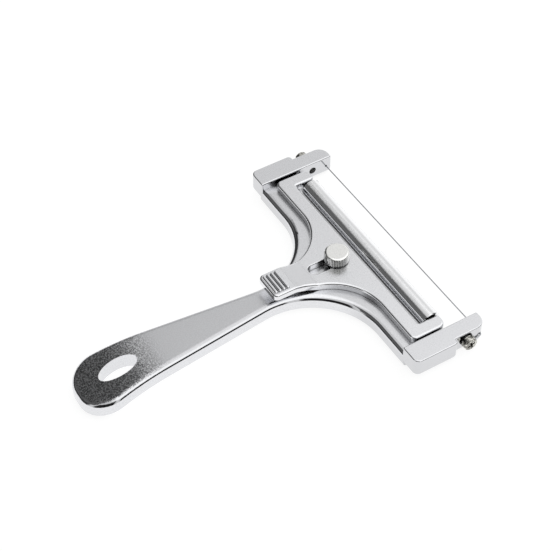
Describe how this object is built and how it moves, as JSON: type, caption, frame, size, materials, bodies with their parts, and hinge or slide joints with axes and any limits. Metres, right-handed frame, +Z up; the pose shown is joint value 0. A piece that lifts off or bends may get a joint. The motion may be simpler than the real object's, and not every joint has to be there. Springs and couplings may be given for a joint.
{
  "type": "cheese wire cutter",
  "caption": "Hand-held T-shaped cheese wire cutter with a taut wire, a chrome roller on a sliding plate and a knurled screw that sets the slice thickness.",
  "frame": {"origin": "thumb-screw axis at the flat underside of the yoke", "axes": "+X along the cutting wire, +Y from the handle towards the wire, +Z up through the thumb screw"},
  "size_m": [0.1196, 0.1426, 0.02],
  "materials": {
    "body_chrome": "satin chrome plating with polished rims",
    "plate_chrome": "satin chrome plating with polished rims",
    "roller_chrome": "polished chrome plating",
    "axle_steel": "bright drawn steel",
    "knob_nickel": "bright nickel plating, knurled side",
    "wire_steel": "bright drawn stainless wire",
    "screw_nickel": "warm nickel plating"
  },
  "bodies": {
    "frame": {"body_frame": "body_chrome", "cutting_wire": "wire_steel", "wire_washer_left": "screw_nickel", "wire_washer_right": "screw_nickel"},
    "slide": {"slide_plate": "plate_chrome", "roller_axle": "axle_steel"},
    "roller": {"roller": "roller_chrome"},
    "thumb_screw": {"thumb_screw": "knob_nickel"},
    "left_clamp": {"wire_screw_left": "screw_nickel"},
    "right_clamp": {"wire_screw_right": "screw_nickel"}
  },
  "joints": [
    {"name": "plate_slide", "type": "slide", "parent": "frame", "child": "slide", "axis": [0, 1, 0], "range_m": [0, 0.007]},
    {"name": "roller_spin", "type": "hinge", "parent": "slide", "child": "roller", "pos_m": [0, 0.0145, 0.0063], "axis": [1, 0, 0], "continuous": true},
    {"name": "thumb_screw_turn", "type": "hinge", "parent": "frame", "child": "thumb_screw", "pos_m": [0, 0, 0.0096], "axis": [0, 0, 1], "range_deg": [0, 720]},
    {"name": "left_clamp_turn", "type": "hinge", "parent": "frame", "child": "left_clamp", "pos_m": [-0.0568, 0.0208, 0.006], "axis": [-1, 0, 0], "range_deg": [0, 720]},
    {"name": "right_clamp_turn", "type": "hinge", "parent": "frame", "child": "right_clamp", "pos_m": [0.0568, 0.0208, 0.006], "axis": [1, 0, 0], "range_deg": [0, 720]}
  ]
}
